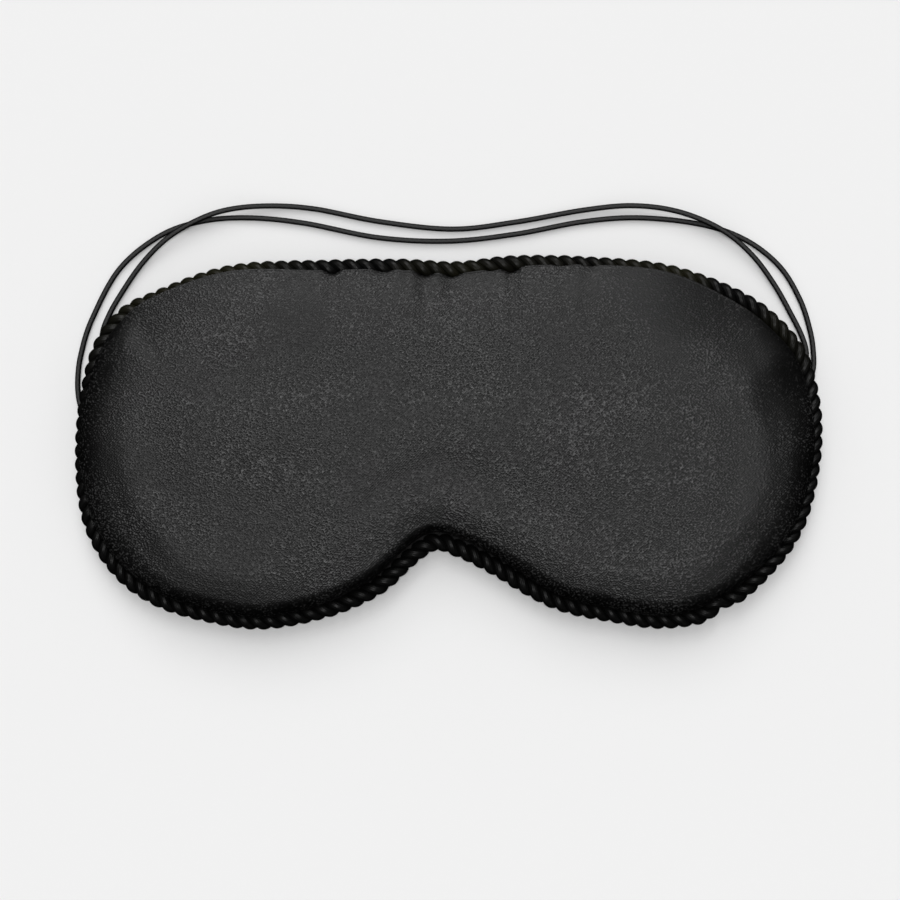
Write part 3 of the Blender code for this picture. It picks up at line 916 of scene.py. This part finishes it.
def build_tape(edge):
    """The flat tape that carries the rope, caught in the seam between the two panels."""
    loop = np.vstack([edge, edge[:1]])
    total = arc_lengths(loop)[-1]
    line = at_lengths(loop, np.arange(TAPE_AROUND) * total / TAPE_AROUND)
    rings = flat_rings(line, ((0.9, 4.6), (2.6, 4.6), (3.6, 4.3), (5.0, 3.35), (7.5, 2.2)))
    under = [ring - 0.32 * MM * UP for ring in rings]
    verts = np.vstack(rings + under[::-1])
    around, rows = len(line), 2 * len(rings)
    faces = []
    for k in range(rows):
        for i in range(around):
            j, m = (i + 1) % around, (k + 1) % rows
            faces.append((k * around + i, k * around + j, m * around + j, m * around + i))
    tape = new_mesh("seam_tape", verts, faces)
    tape.data.materials.append(woven("tape_weave", (0.004,) * 3, (0.016,) * 3, 0.5 * MM, 0.8))
    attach(tape, "mask")
    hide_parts("cord_lip_tape")


# ---------------------------------------------------------------- stitches

def stitch(start, end, rise, radius, count=9):
    """A short stitch from start to end that bows up by rise in its middle."""
    t = np.linspace(0.0, 1.0, count)[:, None]
    points = np.asarray(start) * (1.0 - t) + np.asarray(end) * t
    points[:, 2] += rise * (4.0 * t * (1.0 - t))[:, 0]
    return thread_tube(points, radius)


def build_stitches(edge, front, material):
    """Seam stitches, the stitches that close the turning gap, and the whipping at the rope's join."""
    loop = np.vstack([edge, edge[:1]])
    total = arc_lengths(loop)[-1]

    # Slanting stitches in the valley between the satin and the rope.
    starts = at_lengths(loop, np.arange(SEAM_STITCHES) * total / SEAM_STITCHES)
    tangent = unit(np.roll(starts, -1, axis=0) - np.roll(starts, 1, axis=0))
    inward = np.stack([-tangent[:, 1], tangent[:, 0]], axis=1)
    parts = []
    for point, along, into in zip(starts, tangent, inward):
        low = np.append(point + 2.35 * MM * into, 5.2 * MM)
        high = np.append(point + 3.0 * MM * into + 1.7 * MM * along, 5.35 * MM)
        parts.append(stitch(low, high, 0.2 * MM, 0.14 * MM))
    seam = new_mesh("seam_stitches", *joined(parts))

    # Hand stitches that close the turning gap, over the first fold of the satin.
    x = front[0, :, 0] / MM
    brow = np.where((x > -34.0) & (x < 22.0) & (front[0, :, 1] > 0.0))[0]
    order = brow[np.argsort(x[brow])]
    parts = []
    for index in order[::4]:
        satin_side, rope_side = front[2, index], front[0, index].copy()
        rope_side[1] += 0.3 * MM
        rope_side[2] = 5.9 * MM
        shift = np.array([0.5 * MM, 0.0, 0.0])
        parts.append(stitch(rope_side - shift, satin_side + shift, 0.1 * MM, 0.13 * MM))
    closing = new_mesh("gap_closing_stitches", *joined(parts))

    # Whipping round the rope where its two ends meet.
    along = np.append(unit(loop[1] - loop[0]), 0.0)
    side = np.cross(along, UP)
    centre = np.append(loop[0], EDGE_CORD_Z) - 1.5 * MM * side - 0.6 * MM * UP
    t = np.linspace(0.0, 1.0, 97)
    turn = 2.0 * np.pi * WHIPPING_TURNS * t
    round_rope = WHIPPING_R * (np.outer(np.cos(turn), side) + np.outer(np.sin(turn), UP))
    coil = centre + np.outer((t - 0.5) * 1.7 * MM, along) + round_rope
    whipping = new_mesh("cord_join_whipping", *thread_tube(coil, 0.2 * MM))
    for obj, node in (
        (seam, "seam_thread"), (closing, "gap_closing_thread"), (whipping, "cord_join_stitch"),
    ):
        obj.data.materials.append(material)
        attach(obj, "mask")
        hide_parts(node)


def build_tack(node, material):
    """Close zigzag stitches across a sewn-in end, in the place of the node's block."""
    corners = np.array([v.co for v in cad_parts[node].data.vertices])
    centre = corners.mean(axis=0)
    _, _, directions = np.linalg.svd(corners[:, :2] - centre[:2], full_matrices=False)
    long_way = np.append(directions[0], 0.0)
    short_way = np.cross(UP, long_way)
    parts = []
    for row in range(TACK_ROWS):
        place = centre + long_way * (row / (TACK_ROWS - 1) - 0.5) * 2.1 * MM - 0.3 * MM * UP
        half = 0.5 * MM * short_way + 0.12 * MM * (-1 if row % 2 else 1) * long_way
        parts.append(stitch(place - half, place + half, 0.55 * MM, 0.13 * MM))
    tack = new_mesh(node.replace("_tack", "_bar_tack"), *joined(parts))
    tack.data.materials.append(material)
    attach(tack, "mask")
    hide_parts(node)


# ---------------------------------------------------------------- build

build_stage()
elastic = elastic_braid("elastic_cord_braid")
build_elastic(
    "lower_strap", LOWER_ROUTE, elastic,
)
build_elastic(
    "upper_strap", UPPER_ROUTE, elastic,
)

EDGE = closed_curve(EDGE_ROUTE)
build_rope(EDGE, rope_yarn("rope_fibres"))
front_surface = build_body(EDGE)
build_tape(EDGE)
thread = sewing_thread("sewing_thread_ply")
build_stitches(EDGE, front_surface, thread)
for strap in ("lower_strap", "upper_strap"):
    for hand in ("left", "right"):
        build_tack(f"{strap}_{hand}_tack", thread)
